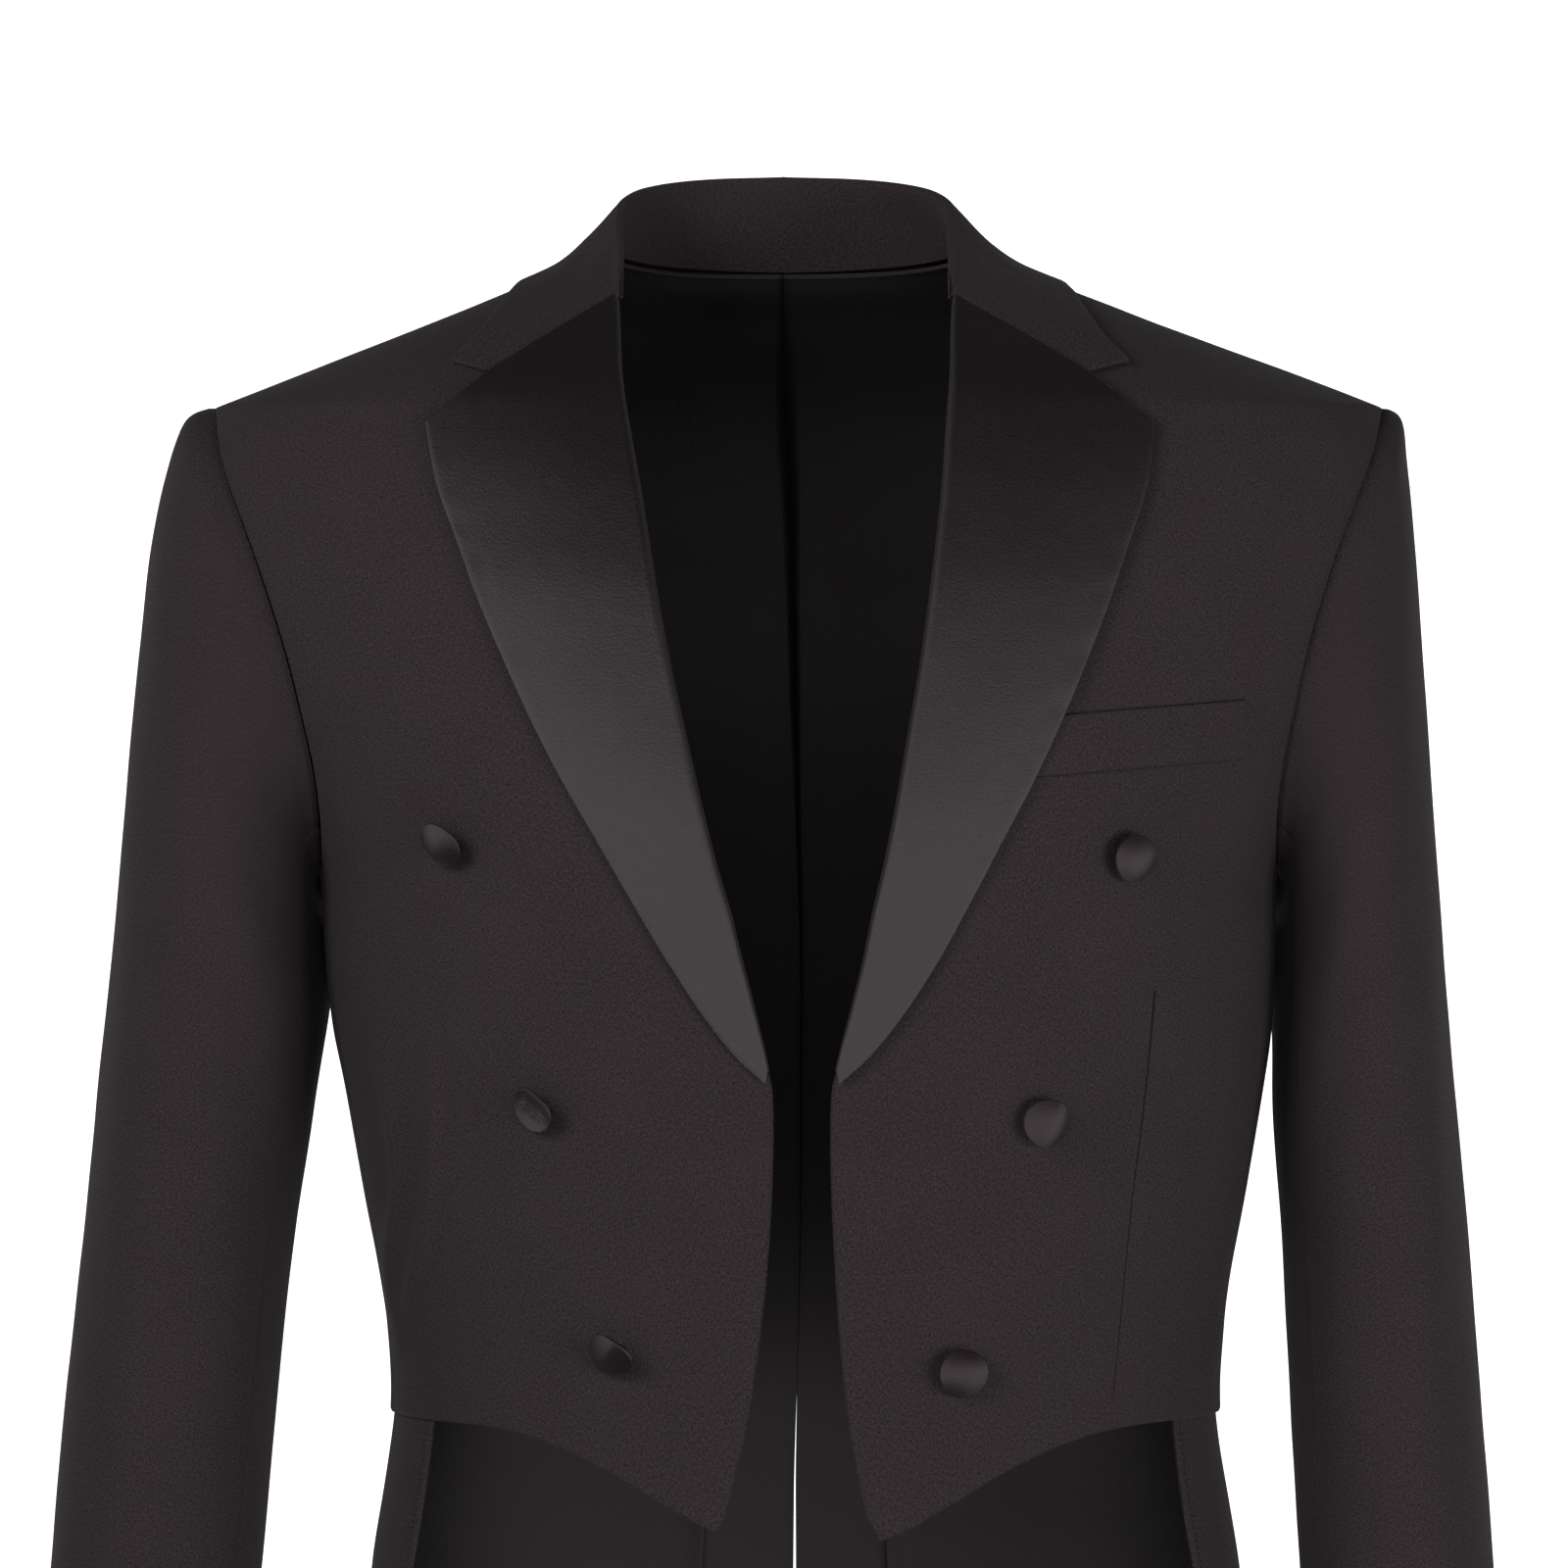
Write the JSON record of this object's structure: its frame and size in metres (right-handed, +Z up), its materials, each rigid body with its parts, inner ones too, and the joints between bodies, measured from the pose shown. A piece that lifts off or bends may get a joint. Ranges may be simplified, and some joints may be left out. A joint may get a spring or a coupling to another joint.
{
  "type": "white tie tailcoat",
  "caption": "Black evening tailcoat with satin notch lapels and covered buttons, cut away at the waist in front and long behind, in a hollow worn form with open neck, cuffs and hem.",
  "frame": {"origin": "in the middle of the wearer's neck, 5 mm over the neck points of the shoulder seams, where the neck and shoulders hold the coat", "axes": "+Z up, -Y out of the front of the coat, +X to the wearer's left, which is the side with the breast pocket"},
  "size_m": [0.6146, 0.2706, 1.0888],
  "materials": {
    "wool": "matt black worsted wool, finely woven",
    "satin": "black satin with a soft sheen"
  },
  "bodies": {
    "root": {"collar": "wool", "breast_welt": "wool", "front_left": "wool", "front_right": "wool", "side_body_left": "wool", "side_body_right": "wool", "back_left": "wool", "back_right": "wool", "tail_left": "wool", "tail_right": "wool", "top_sleeve_left": "wool", "top_sleeve_right": "wool", "under_sleeve_left": "wool", "under_sleeve_right": "wool", "lapel_left": "satin", "lapel_right": "satin", "button_right_top": "satin", "button_right_middle": "satin", "button_right_bottom": "satin", "button_left_top": "satin", "button_left_middle": "satin", "button_left_bottom": "satin", "button_back_left": "satin", "button_back_right": "satin"}
  },
  "joints": []
}
